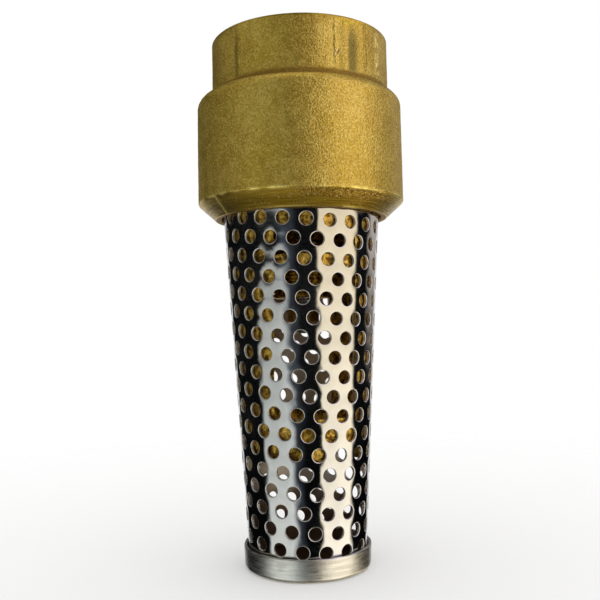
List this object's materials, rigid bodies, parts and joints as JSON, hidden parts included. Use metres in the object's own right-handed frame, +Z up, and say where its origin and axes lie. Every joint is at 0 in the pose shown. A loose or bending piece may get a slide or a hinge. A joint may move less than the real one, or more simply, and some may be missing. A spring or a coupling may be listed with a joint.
{
  "type": "foot valve",
  "caption": "Brass foot valve with a threaded pipe socket, a spring-loaded poppet in a screwed cage, and a conical perforated stainless strainer with an end cap.",
  "frame": {"origin": "on the valve's axis, at the underside of the end cap", "axes": "+Z up along the axis, from the strainer's end cap to the pipe socket; -Y is the front"},
  "size_m": [0.0596, 0.0596, 0.15],
  "materials": {
    "cast_brass": "sand-cast, satin",
    "cage_brass": "sand-cast and machined",
    "disc_brass": "machined",
    "bush_bronze": "machined",
    "strainer_steel": "bright rolled sheet",
    "cap_steel": "brushed round the axis",
    "stem_steel": "machined",
    "nut_steel": "machined",
    "lock_nut_brass": "machined",
    "washer_steel": "stamped",
    "spring_washer_steel": "stamped",
    "retainer_steel": "machined",
    "spring_steel": "drawn wire",
    "cotter_steel": "drawn wire",
    "seal_rubber": "moulded",
    "o_ring_rubber": "moulded"
  },
  "bodies": {
    "housing": {"valve_body": "cast_brass", "seat_cage": "cage_brass", "cage_o_ring": "o_ring_rubber", "guide_bush": "bush_bronze", "strainer_sleeve": "strainer_steel", "strainer_end_cap": "cap_steel", "valve_spring": "spring_steel"},
    "poppet": {"poppet_disc": "disc_brass", "poppet_seal": "seal_rubber", "seal_retainer": "retainer_steel", "head_washer": "washer_steel", "clamp_nut": "nut_steel", "poppet_stem": "stem_steel", "spring_washer": "spring_washer_steel", "lock_nut": "lock_nut_brass", "cotter_pin": "cotter_steel"}
  },
  "joints": [
    {"name": "poppet_lift", "type": "slide", "parent": "housing", "child": "poppet", "axis": [0, 0, 1], "range_m": [0, 0.007], "stiffness_N_per_m": 150, "springref_m": -0.015, "deforming": ["valve_spring"]}
  ]
}
